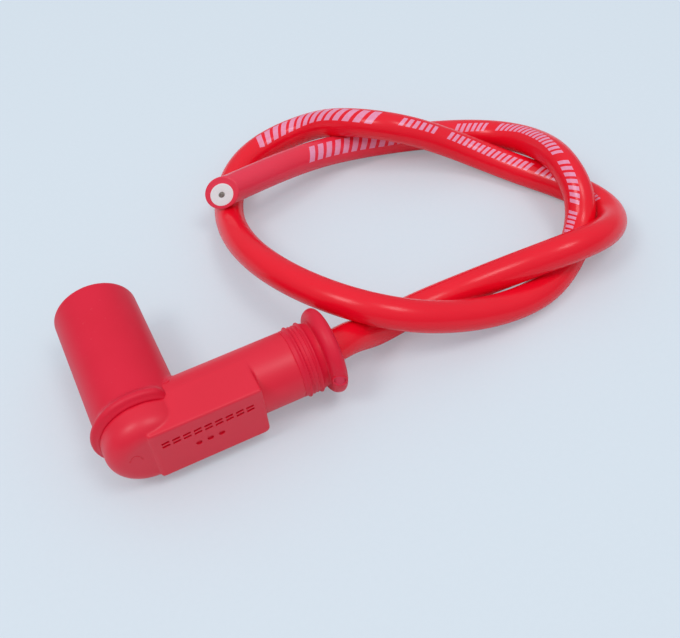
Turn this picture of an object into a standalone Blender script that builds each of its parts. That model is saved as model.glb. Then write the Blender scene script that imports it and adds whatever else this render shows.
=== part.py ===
"""Right-angle resistor spark plug cap with its ignition lead, lying on its side.

All sizes are in metres. Two axes cross inside the elbow: the plug axis runs along +Y to the
open mouth of the boot, and the lead axis runs along +X to the cable seal. Pieces are placed
from that crossing. The origin of the part lies under the middle of the cap, on the surface
that the cap rests on.
"""

import math

import bmesh
import bpy
import numpy as np
from mathutils import Vector

MM = 0.001

# Gaps between pieces
SEAT_GAP = 0.3 * MM
SLIDE_GAP = 0.25 * MM

# Ignition lead
LEAD_RADIUS = 3.5 * MM
LEAD_FIT = 0.3 * MM

# Elbow body
BODY_RADIUS = 9.15 * MM
CLOSED_END = 7.6 * MM
CLOSED_END_ROUND = 3.8 * MM
BOOT_SEAT = 1.0 * MM
BARREL_RADIUS = 7.2 * MM
BARREL_LENGTH = 32.3 * MM
BARREL_EDGE = 0.4 * MM
SPIGOT_WALL = 1.9 * MM
SPIGOT_LENGTH = 4.2 * MM
TOWER_RADIUS = 6.9 * MM
TOWER_LENGTH = 20.0 * MM
BARB_HEIGHT = 0.35 * MM
BARB_WIDTH = 0.9 * MM
SPIGOT_BARB = 1.6 * MM
TOWER_BARB = 15.5 * MM

# Resistor block on the side of the elbow
BLOCK_BACK = 0.2 * MM
BLOCK_LENGTH = 23.4 * MM
BLOCK_PROUD = 0.5 * MM
BLOCK_RISE = 0.06 * MM
BLOCK_TUCK = 0.7 * MM
BLOCK_CORNER = 0.4 * MM
BLOCK_LOW_CORNER = 1.1 * MM
BLOCK_EDGE = 0.35 * MM

# Plug boot
BOOT_OVER_BODY = 0.05 * MM
BOOT_TAPER = 0.15 * MM
BOOT_LENGTH = 33.5 * MM
BOOT_BORE_RADIUS = 5.7 * MM
BOOT_OUTER_ROUND = 0.9 * MM
BOOT_INNER_ROUND = 0.7 * MM
GRIP_COUNT = 3
GRIP_HEIGHT = 0.55 * MM
GRIP_PITCH = 3.2 * MM
GRIP_FROM_MOUTH = 2.6 * MM
LIP_PROUD = 1.4 * MM
LIP_ROUND = 1.03 * MM
LIP_BLEND = 1.7 * MM
SADDLE_BEAD = 1.1 * MM
SADDLE_BEAD_SUNK = 0.6 * MM
SADDLE_BEAD_SPREAD = 0.1 * MM

# Cable seal
SEAL_BAND_RADIUS = 7.2 * MM
SEAL_NECK_RADIUS = 6.9 * MM
SEAL_RIDGES = (0.87 * MM, 3.44 * MM)
SEAL_RIDGE_HEIGHT = 0.45 * MM
SEAL_RIDGE_WIDTH = 1.1 * MM
SEAL_FLANGE_AT = 7.18 * MM
SEAL_FLANGE_OVER_BODY = 0.13 * MM
SEAL_FLANGE_ROUND = 1.97 * MM
SEAL_MOUTH_FLARE = 0.5 * MM

# Plug terminal and its clip
TERMINAL_HEAD_WALL = 0.95 * MM
TERMINAL_BORE_RADIUS = 3.3 * MM
TERMINAL_HEAD_BASE = 2.6 * MM
TERMINAL_FLOOR = 1.4 * MM
TERMINAL_DEPTH = 9.2 * MM
TERMINAL_SHANK_RADIUS = 2.6 * MM
TERMINAL_SHANK_LENGTH = 6.0 * MM
TERMINAL_FLAT = 2.1 * MM
TERMINAL_SLOT_WIDTH = 1.0 * MM
TERMINAL_SLOT_DEPTH = 0.5 * MM
TERMINAL_CHAMFER = 0.4 * MM
CLIP_FROM_MOUTH = 3.0 * MM
CLIP_WIRE = 0.3 * MM
CLIP_GRIP = 0.15 * MM
CLIP_GROOVE_GAP = 0.15 * MM
CLIP_OPENING = math.radians(60)
PLUG_NOSE_RADIUS = 5.4 * MM

# Contact spring, resistor and cable screw along the lead axis
SPRING_WIRE = 0.28 * MM
SPRING_RADIUS = 2.0 * MM
SPRING_LENGTH = 4.0 * MM
SPRING_TURNS = 3.5
RESISTOR_RADIUS = 2.3 * MM
RESISTOR_LENGTH = 12.6 * MM
RESISTOR_EDGE = 0.3 * MM
CAP_WALL = 0.3 * MM
CAP_DEPTH = 2.6 * MM
CAP_FIT = 0.12 * MM
SCREW_HEAD_LENGTH = 1.3 * MM
SCREW_SLOT_WIDTH = 0.9 * MM
SCREW_SLOT_DEPTH = 0.5 * MM
SCREW_CORE_RADIUS = 1.15 * MM
SCREW_THREAD_HEIGHT = 0.55 * MM
SCREW_THREAD_PITCH = 1.4 * MM
SCREW_LENGTH = 6.4 * MM
SCREW_TIP = 2.4 * MM

# Facets
ROUND_STEPS = 40
SMALL_STEPS = 32
LEAD_POINT_SPACING = 4 * LEAD_RADIUS

# Sizes that follow from the ones above
LEAD_BORE_RADIUS = LEAD_RADIUS + LEAD_FIT
SPIGOT_RADIUS = LEAD_BORE_RADIUS + SPIGOT_WALL
SPIGOT_END = BARREL_LENGTH + SPIGOT_LENGTH
BLOCK_HALF_HEIGHT = BARREL_RADIUS + BLOCK_RISE
BLOCK_FACE = CLOSED_END + BLOCK_PROUD
BOOT_ROOT_RADIUS = BODY_RADIUS + BOOT_OVER_BODY
BOOT_MOUTH_RADIUS = BOOT_ROOT_RADIUS - BOOT_TAPER
LIP_RADIUS = BOOT_ROOT_RADIUS + LIP_PROUD
LIP_AT = -BOOT_SEAT + SEAT_GAP + LIP_ROUND
SEAL_START = BARREL_LENGTH + SEAT_GAP
SEAL_FLANGE_RADIUS = BODY_RADIUS + SEAL_FLANGE_OVER_BODY
SEAL_END = SEAL_START + SEAL_FLANGE_AT + SEAL_FLANGE_ROUND

TERMINAL_HEAD_RADIUS = TERMINAL_BORE_RADIUS + TERMINAL_HEAD_WALL
TERMINAL_MOUTH = TERMINAL_HEAD_BASE + TERMINAL_FLOOR + TERMINAL_DEPTH
TERMINAL_POCKET_RADIUS = TERMINAL_HEAD_RADIUS + SLIDE_GAP
TERMINAL_SHANK_END = TERMINAL_HEAD_BASE - TERMINAL_SHANK_LENGTH

SPRING_START = TERMINAL_FLAT + SEAT_GAP
CAP_RADIUS = RESISTOR_RADIUS + CAP_FIT + CAP_WALL
RESISTOR_BORE_RADIUS = CAP_RADIUS + SLIDE_GAP
NEAR_CAP_START = SPRING_START + SPRING_LENGTH + SEAT_GAP
RESISTOR_START = NEAR_CAP_START + CAP_WALL + CAP_FIT
RESISTOR_END = RESISTOR_START + RESISTOR_LENGTH
FAR_CAP_END = RESISTOR_END + CAP_FIT + CAP_WALL
SCREW_SEAT = FAR_CAP_END
SCREW_HEAD_START = SCREW_SEAT + SEAT_GAP
SCREW_NECK = SCREW_HEAD_START + SCREW_HEAD_LENGTH
SCREW_END = SCREW_NECK + SCREW_LENGTH
LEAD_START = SCREW_END + SEAT_GAP

# The middle of the cap, seen from above, and the height of both axes over the surface
MIDDLE_X = (SEAL_END - LIP_RADIUS) / 2
MIDDLE_Y = (BOOT_LENGTH - max(SEAL_FLANGE_RADIUS, BLOCK_FACE)) / 2
AXIS_HEIGHT = LIP_RADIUS

# Route of the lead: x and y from the crossing of the axes, and height over the surface, in
# millimetres. It leaves the seal along the lead axis, settles onto the surface and winds
# twice round a loose loop, passing over and under itself.
ROUTE_MM = [
    (41.7, 0.0, 10.6),
    (46.0, 1.2, 9.5),
    (52.4, 3.4, 5.7),
    (59.8, 5.2, 4.0),
    (73.6, 5.2, 4.4),
    (87.6, 1.2, 9.2),
    (101.2, -1.2, 11.6),
    (109.2, 0.8, 9.4),
    (114.8, 5.2, 6.4),
    (117.2, 11.4, 4.2),
    (115.4, 19.2, 3.6),
    (108.2, 31.2, 3.6),
    (100.2, 41.6, 5.2),
    (91.4, 47.6, 9.6),
    (83.4, 51.8, 13.0),
    (75.2, 59.4, 12.6),
    (67.4, 69.8, 6.8),
    (56.8, 72.2, 3.9),
    (46.2, 66.6, 3.7),
    (39.8, 56.8, 4.2),
    (36.6, 42.8, 7.8),
    (37.6, 28.2, 11.8),
    (42.8, 14.0, 14.4),
    (49.4, 4.6, 14.9),
    (57.2, -1.2, 13.3),
    (67.2, -3.8, 9.4),
    (79.4, -4.4, 5.4),
    (91.4, -3.0, 3.7),
    (101.6, 2.2, 3.8),
    (109.0, 9.2, 6.2),
    (111.0, 13.4, 9.3),
    (112.0, 20.4, 11.6),
    (112.8, 32.4, 9.0),
    (108.8, 45.2, 4.6),
    (96.8, 53.4, 3.8),
    (82.2, 58.6, 4.0),
    (68.2, 59.6, 6.1),
    (52.6, 56.2, 9.9),
    (37.8, 52.2, 12.7),
]

COLOURS = {
    "elbow_moulding": ((0.58, 0.018, 0.035, 1.0), 0.38, 0.0),
    "boot_rubber": ((0.60, 0.020, 0.040, 1.0), 0.55, 0.0),
    "lead_silicone": ((0.62, 0.016, 0.035, 1.0), 0.30, 0.0),
    "brass": ((0.78, 0.57, 0.24, 1.0), 0.30, 1.0),
    "spring_steel": ((0.60, 0.61, 0.62, 1.0), 0.28, 1.0),
    "resistor_ceramic": ((0.80, 0.77, 0.70, 1.0), 0.65, 0.0),
}


def clear_scene():
    for old in list(bpy.data.objects):
        bpy.data.objects.remove(old, do_unlink=True)


def material(name):
    found = bpy.data.materials.get(name)
    if found:
        return found
    colour, roughness, metallic = COLOURS[name]
    made = bpy.data.materials.new(name)
    made.use_nodes = True
    shader = made.node_tree.nodes["Principled BSDF"]
    shader.inputs["Base Color"].default_value = colour
    shader.inputs["Roughness"].default_value = roughness
    shader.inputs["Metallic"].default_value = metallic
    return made


def axis_empty(name, location, rotation, parent=None):
    """An empty whose local Z runs along one of the cap's axes."""
    empty = bpy.data.objects.new(name, None)
    empty.location = location
    empty.rotation_euler = rotation
    empty.parent = parent
    bpy.context.scene.collection.objects.link(empty)
    return empty


def add_object(name, data, parent, finish=None):
    made = bpy.data.objects.new(name, data)
    bpy.context.scene.collection.objects.link(made)
    made.parent = parent
    if finish:
        data.materials.append(material(finish))
    else:
        made.hide_render = True
        made.display_type = "WIRE"
    return made


def mesh_from(name, shape):
    bmesh.ops.recalc_face_normals(shape, faces=shape.faces)
    mesh = bpy.data.meshes.new(name)
    shape.to_mesh(mesh)
    shape.free()
    mesh.shade_smooth()
    mesh.set_sharp_from_angle(angle=math.radians(35))
    return mesh


def arc(radius, along, size, start, end, steps):
    """Points of an arc in a turned outline: its centre, its radius, and its angles in degrees."""
    angles = np.radians(np.linspace(start, end, steps + 1))
    return [(radius + size * math.cos(a), along + size * math.sin(a)) for a in angles]


def turned(name, outline, parent, finish=None, steps=ROUND_STEPS):
    """A body turned about its parent's Z. The outline holds (radius, distance along the axis)."""
    shape = bmesh.new()
    corners = [shape.verts.new((radius, 0, along)) for radius, along in outline]
    pairs = list(zip(corners, corners[1:]))
    if outline[0][0] > 0:
        pairs.append((corners[-1], corners[0]))
    edges = [shape.edges.new(pair) for pair in pairs]
    bmesh.ops.spin(
        shape, geom=corners + edges, cent=(0, 0, 0), axis=(0, 0, 1), angle=math.tau, steps=steps
    )
    bmesh.ops.remove_doubles(shape, verts=shape.verts, dist=0.001 * MM)
    return add_object(name, mesh_from(name, shape), parent, finish)


def slab(name, outline, low, high, parent, finish=None):
    """A body cut from a flat outline in its parent's X and Y, from low to high along Z."""
    shape = bmesh.new()
    face = shape.faces.new([shape.verts.new((x, y, low)) for x, y in outline])
    risen = bmesh.ops.extrude_face_region(shape, geom=[face])["geom"]
    top = [part for part in risen if isinstance(part, bmesh.types.BMVert)]
    bmesh.ops.translate(shape, verts=top, vec=(0, 0, high - low))
    return add_object(name, mesh_from(name, shape), parent, finish)


def rod(name, points, radius, parent, finish, resolution=3):
    """A round bar of even thickness along a run of points."""
    data = bpy.data.curves.new(name, "CURVE")
    data.dimensions = "3D"
    data.bevel_depth = radius
    data.bevel_resolution = resolution
    data.use_fill_caps = True
    run = data.splines.new("POLY")
    run.points.add(len(points) - 1)
    for point, place in zip(run.points, points):
        point.co = (*place, 1.0)
    return add_object(name, data, parent, finish)


def combine(target, operation, other):
    step = target.modifiers.new(f"{operation.lower()} {other.name}", "BOOLEAN")
    step.operation = operation
    step.object = other


def round_edges(target, width, segments=3):
    step = target.modifiers.new("rounded edges", "BEVEL")
    step.width = width
    step.segments = segments
    step.limit_method = "ANGLE"
    step.angle_limit = math.radians(50)


def barb(radius, along):
    """A low ramp on a turned outline that keeps a rubber piece from sliding off."""
    top = radius + BARB_HEIGHT
    return [(radius, along), (top, along + 0.2 * BARB_WIDTH), (radius, along + BARB_WIDTH)]


def make_elbow_body(plug_axis, lead_axis):
    """The hard moulding: closed end, plug tower, barrel, spigot and resistor block in one."""
    outline = [(0, -CLOSED_END)]
    outline += arc(
        BODY_RADIUS - CLOSED_END_ROUND,
        CLOSED_END_ROUND - CLOSED_END,
        CLOSED_END_ROUND,
        -90,
        0,
        8,
    )
    outline += [(BODY_RADIUS, -BOOT_SEAT), (TOWER_RADIUS, -BOOT_SEAT)]
    outline += barb(TOWER_RADIUS, TOWER_BARB)
    outline += [
        (TOWER_RADIUS, TOWER_LENGTH - BARREL_EDGE),
        (TOWER_RADIUS - BARREL_EDGE, TOWER_LENGTH),
        (0, TOWER_LENGTH),
    ]
    body = turned("elbow_body", outline, plug_axis, "elbow_moulding")

    outline = [(0, 0), (BARREL_RADIUS, 0), (BARREL_RADIUS, BARREL_LENGTH - BARREL_EDGE)]
    outline += [(BARREL_RADIUS - BARREL_EDGE, BARREL_LENGTH), (SPIGOT_RADIUS, BARREL_LENGTH)]
    outline += barb(SPIGOT_RADIUS, BARREL_LENGTH + SPIGOT_BARB)
    outline += [
        (SPIGOT_RADIUS, SPIGOT_END - BARREL_EDGE),
        (SPIGOT_RADIUS - BARREL_EDGE, SPIGOT_END),
        (0, SPIGOT_END),
    ]
    combine(body, "UNION", turned("barrel_form", outline, lead_axis))
    combine(body, "UNION", make_resistor_block(plug_axis))
    combine(body, "DIFFERENCE", make_plug_bore(plug_axis))
    combine(body, "DIFFERENCE", make_lead_bore(lead_axis))
    return body


def make_resistor_block(plug_axis):
    """The flat-faced block that holds the resistor, its face a little proud of the closed end."""
    left, right = -BLOCK_BACK, BLOCK_LENGTH - BLOCK_BACK
    top, bottom = -BLOCK_HALF_HEIGHT, BLOCK_HALF_HEIGHT
    corners = (
        (left, top, 1, 1, BLOCK_CORNER, 180),
        (right, top, -1, 1, BLOCK_CORNER, 270),
        (right, bottom, -1, -1, BLOCK_LOW_CORNER, 0),
        (left, bottom, 1, -1, BLOCK_CORNER, 90),
    )
    outline = []
    for x, y, inward_x, inward_y, size, start in corners:
        outline += arc(x + inward_x * size, y + inward_y * size, size, start, start + 90, 4)
    block = slab("block_form", outline, -BLOCK_FACE, BLOCK_TUCK, plug_axis)
    round_edges(block, BLOCK_EDGE)
    return block


def make_plug_bore(plug_axis):
    """Stepped bore from the tower's mouth: plug nose, terminal pocket and terminal shank."""
    shank = TERMINAL_SHANK_RADIUS + SLIDE_GAP
    pocket_floor = TERMINAL_HEAD_BASE - SEAT_GAP
    outline = [
        (0, TERMINAL_SHANK_END - SEAT_GAP),
        (shank, TERMINAL_SHANK_END - SEAT_GAP),
        (shank, pocket_floor),
        (TERMINAL_POCKET_RADIUS, pocket_floor),
        (TERMINAL_POCKET_RADIUS, TERMINAL_MOUTH),
        (PLUG_NOSE_RADIUS, TERMINAL_MOUTH + PLUG_NOSE_RADIUS - TERMINAL_POCKET_RADIUS),
        (PLUG_NOSE_RADIUS, TOWER_LENGTH + SEAT_GAP),
        (0, TOWER_LENGTH + SEAT_GAP),
    ]
    return turned("plug_bore_form", outline, plug_axis, steps=SMALL_STEPS)


def make_lead_bore(lead_axis):
    """Stepped bore from the spigot's mouth: lead and cable screw, then resistor and spring."""
    outline = [
        (0, 0),
        (RESISTOR_BORE_RADIUS, 0),
        (RESISTOR_BORE_RADIUS, SCREW_SEAT),
        (LEAD_BORE_RADIUS, SCREW_SEAT),
        (LEAD_BORE_RADIUS, SPIGOT_END + SEAT_GAP),
        (0, SPIGOT_END + SEAT_GAP),
    ]
    return turned("lead_bore_form", outline, lead_axis, steps=SMALL_STEPS)


def make_plug_boot(plug_axis, lead_axis):
    """The rubber boot: tube, rolled lip, grip rings inside, and a saddle mouth round the barrel."""
    socket = TOWER_RADIUS + SLIDE_GAP
    stop = TOWER_LENGTH + SEAT_GAP
    seat = -BOOT_SEAT + SEAT_GAP
    lip_centre = LIP_RADIUS - LIP_ROUND
    outline = [(socket, seat)]
    outline += arc(lip_centre, LIP_AT, LIP_ROUND, -90, 45, 8)
    outline += blend_to_tube(lip_centre)
    outline += [(BOOT_MOUTH_RADIUS, BOOT_LENGTH - BOOT_OUTER_ROUND)]
    outline += arc(
        BOOT_MOUTH_RADIUS - BOOT_OUTER_ROUND, BOOT_LENGTH - BOOT_OUTER_ROUND, BOOT_OUTER_ROUND, 15, 90, 4
    )
    outline += arc(
        BOOT_BORE_RADIUS + BOOT_INNER_ROUND, BOOT_LENGTH - BOOT_INNER_ROUND, BOOT_INNER_ROUND, 90, 180, 3
    )
    for ring in range(GRIP_COUNT):
        crest = BOOT_LENGTH - GRIP_FROM_MOUTH - ring * GRIP_PITCH
        outline += [
            (BOOT_BORE_RADIUS, crest + GRIP_HEIGHT),
            (BOOT_BORE_RADIUS - GRIP_HEIGHT, crest),
            (BOOT_BORE_RADIUS, crest - 2 * GRIP_HEIGHT),
        ]
    outline += [(BOOT_BORE_RADIUS, stop), (socket, stop)]
    outline += reversed(barb(socket, TOWER_BARB))
    boot = turned("plug_boot", outline, plug_axis, "boot_rubber")
    combine(boot, "UNION", make_saddle_bead(plug_axis))
    combine(boot, "DIFFERENCE", make_saddle_form(lead_axis))
    combine(boot, "DIFFERENCE", make_block_clearance(plug_axis))
    return boot


def blend_to_tube(lip_centre):
    """A hollow curve from the top of the lip to the straight tube."""
    start = Vector(arc(lip_centre, LIP_AT, LIP_ROUND, 45, 45, 0)[0])
    end = Vector((BOOT_ROOT_RADIUS, start.y + LIP_BLEND))
    bend = Vector((BOOT_ROOT_RADIUS, start.y + (start.x - BOOT_ROOT_RADIUS)))
    points = []
    for share in (0.25, 0.5, 0.75, 1.0):
        points.append(tuple(start.lerp(bend, share).lerp(bend.lerp(end, share), share)))
    return points


def make_saddle_bead(plug_axis):
    """The lip's bead where it climbs over the barrel, along the line where tube and barrel meet."""
    over_barrel = BARREL_RADIUS + SEAT_GAP - SADDLE_BEAD_SUNK
    along_tube = BOOT_ROOT_RADIUS + SADDLE_BEAD_SPREAD
    points = []
    for angle in np.linspace(-math.radians(82), math.radians(82), 25):
        side = over_barrel * math.sin(angle)
        points.append((math.sqrt(along_tube**2 - side**2), side, over_barrel * math.cos(angle)))
    return rod_mesh("saddle_bead_form", points, SADDLE_BEAD, plug_axis)


def rod_mesh(name, points, radius, parent, sides=12):
    """A round bar as a mesh, because a Boolean takes no curve."""
    shape = bmesh.new()
    path = [Vector(point) for point in points]
    rings = []
    up = Vector((0, 0, 1))
    for index, centre in enumerate(path):
        ahead = (path[min(index + 1, len(path) - 1)] - path[max(index - 1, 0)]).normalized()
        side = ahead.cross(up).normalized()
        up = side.cross(ahead).normalized()
        ring = []
        for turn in range(sides):
            angle = math.tau * turn / sides
            offset = side * math.cos(angle) + up * math.sin(angle)
            ring.append(shape.verts.new(centre + offset * radius))
        rings.append(ring)
    for near, far in zip(rings, rings[1:]):
        for turn in range(sides):
            after = (turn + 1) % sides
            shape.faces.new((near[turn], near[after], far[after], far[turn]))
    shape.faces.new(reversed(rings[0]))
    shape.faces.new(rings[-1])
    return add_object(name, mesh_from(name, shape), parent)


def make_saddle_form(lead_axis):
    clear_radius = BARREL_RADIUS + SEAT_GAP
    outline = [(0, 0), (clear_radius, 0), (clear_radius, BARREL_LENGTH), (0, BARREL_LENGTH)]
    return turned("saddle_form", outline, lead_axis)


def make_block_clearance(plug_axis):
    reach = BLOCK_HALF_HEIGHT + SEAT_GAP
    right = BLOCK_LENGTH - BLOCK_BACK
    outline = [(0, -reach), (right, -reach), (right, reach), (0, reach)]
    return slab("block_clearance_form", outline, -BLOCK_FACE, 0, plug_axis)


def make_cable_seal(lead_axis):
    """The rubber seal on the spigot: band with two thin ridges, neck and a thick round flange."""
    socket = SPIGOT_RADIUS + SLIDE_GAP
    stop = SPIGOT_END + SEAT_GAP
    flange_at = SEAL_START + SEAL_FLANGE_AT
    flange_centre = SEAL_FLANGE_RADIUS - SEAL_FLANGE_ROUND
    outline = [(socket, SEAL_START), (SEAL_BAND_RADIUS - SEAT_GAP, SEAL_START)]
    outline += [(SEAL_BAND_RADIUS, SEAL_START + SEAT_GAP)]
    for ridge in SEAL_RIDGES:
        outline += ridge_outline(SEAL_START + ridge)
    outline += [(SEAL_NECK_RADIUS, flange_at - SEAL_FLANGE_ROUND * 0.95)]
    outline += arc(flange_centre, flange_at, SEAL_FLANGE_ROUND, -70, 90, 12)
    mouth = LEAD_BORE_RADIUS + SEAL_MOUTH_FLARE
    outline += [(mouth, SEAL_END), (LEAD_BORE_RADIUS, SEAL_END - SEAL_MOUTH_FLARE)]
    outline += [(LEAD_BORE_RADIUS, stop), (socket, stop)]
    outline += reversed(barb(socket, BARREL_LENGTH + SPIGOT_BARB))
    return turned("cable_seal", outline, lead_axis, "boot_rubber")


def ridge_outline(centre):
    half = SEAL_RIDGE_WIDTH / 2
    points = []
    for share in (-1.0, -0.7, -0.35, 0.0, 0.35, 0.7, 1.0):
        rise = SEAL_RIDGE_HEIGHT * math.cos(share * math.pi / 2)
        points.append((SEAL_BAND_RADIUS + rise, centre + share * half))
    return points


def make_plug_terminal(plug_axis):
    """The brass insert that takes the plug's top nut, with a shank flattened for the spring."""
    floor = TERMINAL_HEAD_BASE + TERMINAL_FLOOR
    groove_at = TERMINAL_MOUTH - CLIP_FROM_MOUTH
    groove_radius = TERMINAL_BORE_RADIUS - CLIP_GRIP + 2 * CLIP_WIRE + CLIP_GROOVE_GAP
    groove_half = CLIP_WIRE + CLIP_GROOVE_GAP
    outline = [
        (0, TERMINAL_SHANK_END),
        (TERMINAL_SHANK_RADIUS - TERMINAL_CHAMFER, TERMINAL_SHANK_END),
        (TERMINAL_SHANK_RADIUS, TERMINAL_SHANK_END + TERMINAL_CHAMFER),
        (TERMINAL_SHANK_RADIUS, TERMINAL_HEAD_BASE),
        (TERMINAL_HEAD_RADIUS, TERMINAL_HEAD_BASE),
        (TERMINAL_HEAD_RADIUS, TERMINAL_MOUTH),
        (TERMINAL_BORE_RADIUS + TERMINAL_CHAMFER, TERMINAL_MOUTH),
        (TERMINAL_BORE_RADIUS, TERMINAL_MOUTH - TERMINAL_CHAMFER),
        (TERMINAL_BORE_RADIUS, groove_at + groove_half),
        (groove_radius, groove_at + groove_half),
        (groove_radius, groove_at - groove_half),
        (TERMINAL_BORE_RADIUS, groove_at - groove_half),
        (TERMINAL_BORE_RADIUS, floor),
        (0, floor),
    ]
    terminal = turned("plug_terminal", outline, plug_axis, "brass", SMALL_STEPS)
    reach = TERMINAL_SHANK_RADIUS + SEAT_GAP
    flat_outline = [(TERMINAL_FLAT, -reach), (reach, -reach), (reach, reach), (TERMINAL_FLAT, reach)]
    flat_low = TERMINAL_SHANK_END - SEAT_GAP
    flat_high = TERMINAL_HEAD_BASE - SEAT_GAP
    combine(terminal, "DIFFERENCE", slab("flat_form", flat_outline, flat_low, flat_high, plug_axis))
    half_slot = TERMINAL_SLOT_WIDTH / 2
    bore = TERMINAL_BORE_RADIUS - SEAT_GAP
    slot_outline = [(-bore, -half_slot), (bore, -half_slot), (bore, half_slot), (-bore, half_slot)]
    slot = slab("driver_slot_form", slot_outline, floor - TERMINAL_SLOT_DEPTH, floor + SEAT_GAP, plug_axis)
    combine(terminal, "DIFFERENCE", slot)
    return terminal


def make_terminal_clip(plug_axis):
    """The spring wire ring in the terminal's groove that snaps behind the plug's nut."""
    radius = TERMINAL_BORE_RADIUS - CLIP_GRIP + CLIP_WIRE
    height = TERMINAL_MOUTH - CLIP_FROM_MOUTH
    points = []
    for angle in np.linspace(CLIP_OPENING / 2, math.tau - CLIP_OPENING / 2, 31):
        points.append((radius * math.cos(angle), radius * math.sin(angle), height))
    return rod("terminal_clip", points, CLIP_WIRE, plug_axis, "spring_steel", resolution=2)


def make_contact_spring(lead_axis):
    """The compression spring that presses the resistor against both contacts."""
    per_turn = 16
    count = int(SPRING_TURNS * per_turn)
    travel = SPRING_LENGTH - 2 * SPRING_WIRE
    points = []
    for index in range(count + 1):
        angle = math.tau * index / per_turn
        along = SPRING_START + SPRING_WIRE + travel * index / count
        points.append((SPRING_RADIUS * math.cos(angle), SPRING_RADIUS * math.sin(angle), along))
    return rod("contact_spring", points, SPRING_WIRE, lead_axis, "spring_steel", resolution=2)


def make_resistor(lead_axis):
    outline = [
        (0, RESISTOR_START),
        (RESISTOR_RADIUS - RESISTOR_EDGE, RESISTOR_START),
        (RESISTOR_RADIUS, RESISTOR_START + RESISTOR_EDGE),
        (RESISTOR_RADIUS, RESISTOR_END - RESISTOR_EDGE),
        (RESISTOR_RADIUS - RESISTOR_EDGE, RESISTOR_END),
        (0, RESISTOR_END),
    ]
    return turned("resistor_rod", outline, lead_axis, "resistor_ceramic", SMALL_STEPS)


def make_resistor_cap(name, face, inward, lead_axis):
    """A drawn brass cup over one end of the resistor. face is its outer end, inward +1 or -1."""
    inner = RESISTOR_RADIUS + CAP_FIT
    outline = [
        (0, face),
        (CAP_RADIUS - CAP_WALL / 2, face),
        (CAP_RADIUS, face + inward * CAP_WALL / 2),
        (CAP_RADIUS, face + inward * CAP_DEPTH),
        (inner, face + inward * CAP_DEPTH),
        (inner, face + inward * CAP_WALL),
        (0, face + inward * CAP_WALL),
    ]
    return turned(name, outline, lead_axis, "brass", SMALL_STEPS)


def make_cable_screw(lead_axis):
    """The brass screw that the lead is turned onto: slotted head, coarse thread and a point."""
    head_radius = LEAD_BORE_RADIUS - SLIDE_GAP
    rows = []
    rows.append((SCREW_HEAD_START, head_radius - SEAT_GAP, 0.0))
    rows.append((SCREW_HEAD_START + SEAT_GAP, head_radius, 0.0))
    rows.append((SCREW_NECK, head_radius, 0.0))
    rows.append((SCREW_NECK + 0.01 * MM, SCREW_CORE_RADIUS, 0.0))
    steps = 26
    first = SCREW_NECK + SEAT_GAP
    for index in range(steps + 1):
        along = first + (SCREW_END - first) * index / steps
        taper = min(1.0, (SCREW_END - along) / SCREW_TIP + 0.12)
        grow = min(1.0, index / 4)
        rows.append((along, SCREW_CORE_RADIUS * taper, SCREW_THREAD_HEIGHT * grow * taper))
    shape = bmesh.new()
    sides = 16
    rings = []
    for along, core, thread in rows:
        ring = []
        for turn in range(sides):
            share = (along / SCREW_THREAD_PITCH - turn / sides) % 1.0
            radius = core + thread * (1.0 - abs(2.0 * share - 1.0))
            angle = math.tau * turn / sides
            ring.append(shape.verts.new((radius * math.cos(angle), radius * math.sin(angle), along)))
        rings.append(ring)
    for near, far in zip(rings, rings[1:]):
        for turn in range(sides):
            after = (turn + 1) % sides
            shape.faces.new((near[turn], near[after], far[after], far[turn]))
    shape.faces.new(reversed(rings[0]))
    shape.faces.new(rings[-1])
    screw = add_object("cable_screw", mesh_from("cable_screw", shape), lead_axis, "brass")
    half = SCREW_SLOT_WIDTH / 2
    reach = head_radius + SEAT_GAP
    outline = [(-reach, -half), (reach, -half), (reach, half), (-reach, half)]
    low = SCREW_HEAD_START - SEAT_GAP
    slot = slab("screw_slot_form", outline, low, SCREW_HEAD_START + SCREW_SLOT_DEPTH, lead_axis)
    combine(screw, "DIFFERENCE", slot)
    return screw


def smooth_points(route, spacing):
    """Evenly spaced points on the natural cubic curve through the route's points."""
    knots = np.array(route)
    steps = np.linalg.norm(np.diff(knots, axis=0), axis=1)
    places = np.concatenate([[0.0], np.cumsum(steps)])
    count = len(knots)
    system = np.eye(count)
    target = np.zeros_like(knots)
    for i in range(1, count - 1):
        before, after = steps[i - 1], steps[i]
        system[i, i - 1 : i + 2] = (before, 2 * (before + after), after)
        slope_after = (knots[i + 1] - knots[i]) / after
        slope_before = (knots[i] - knots[i - 1]) / before
        target[i] = 6 * (slope_after - slope_before)
    bends = np.linalg.solve(system, target)
    fine = []
    for i, step in enumerate(steps):
        for share in np.arange(0.0, 1.0, 0.02):
            rest = 1.0 - share
            bow = (rest**3 - rest) * bends[i] + (share**3 - share) * bends[i + 1]
            fine.append(rest * knots[i] + share * knots[i + 1] + bow * step**2 / 6)
    fine.append(knots[-1])
    fine = np.array(fine)
    run = np.concatenate([[0.0], np.cumsum(np.linalg.norm(np.diff(fine, axis=0), axis=1))])
    wanted = np.linspace(0.0, run[-1], round(run[-1] / spacing) + 1)
    return np.stack([np.interp(wanted, run, fine[:, k]) for k in range(3)], axis=1)


def make_ignition_lead(ground):
    """The silicone lead, one round bar from the cable screw to its bare cut end."""
    route = [(LEAD_START, 0.0, AXIS_HEIGHT)]
    route += [(x * MM, y * MM, height * MM) for x, y, height in ROUTE_MM]
    points = smooth_points(route, LEAD_POINT_SPACING)
    return rod("ignition_lead", points, LEAD_RADIUS, ground, "lead_silicone", resolution=3)


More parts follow.
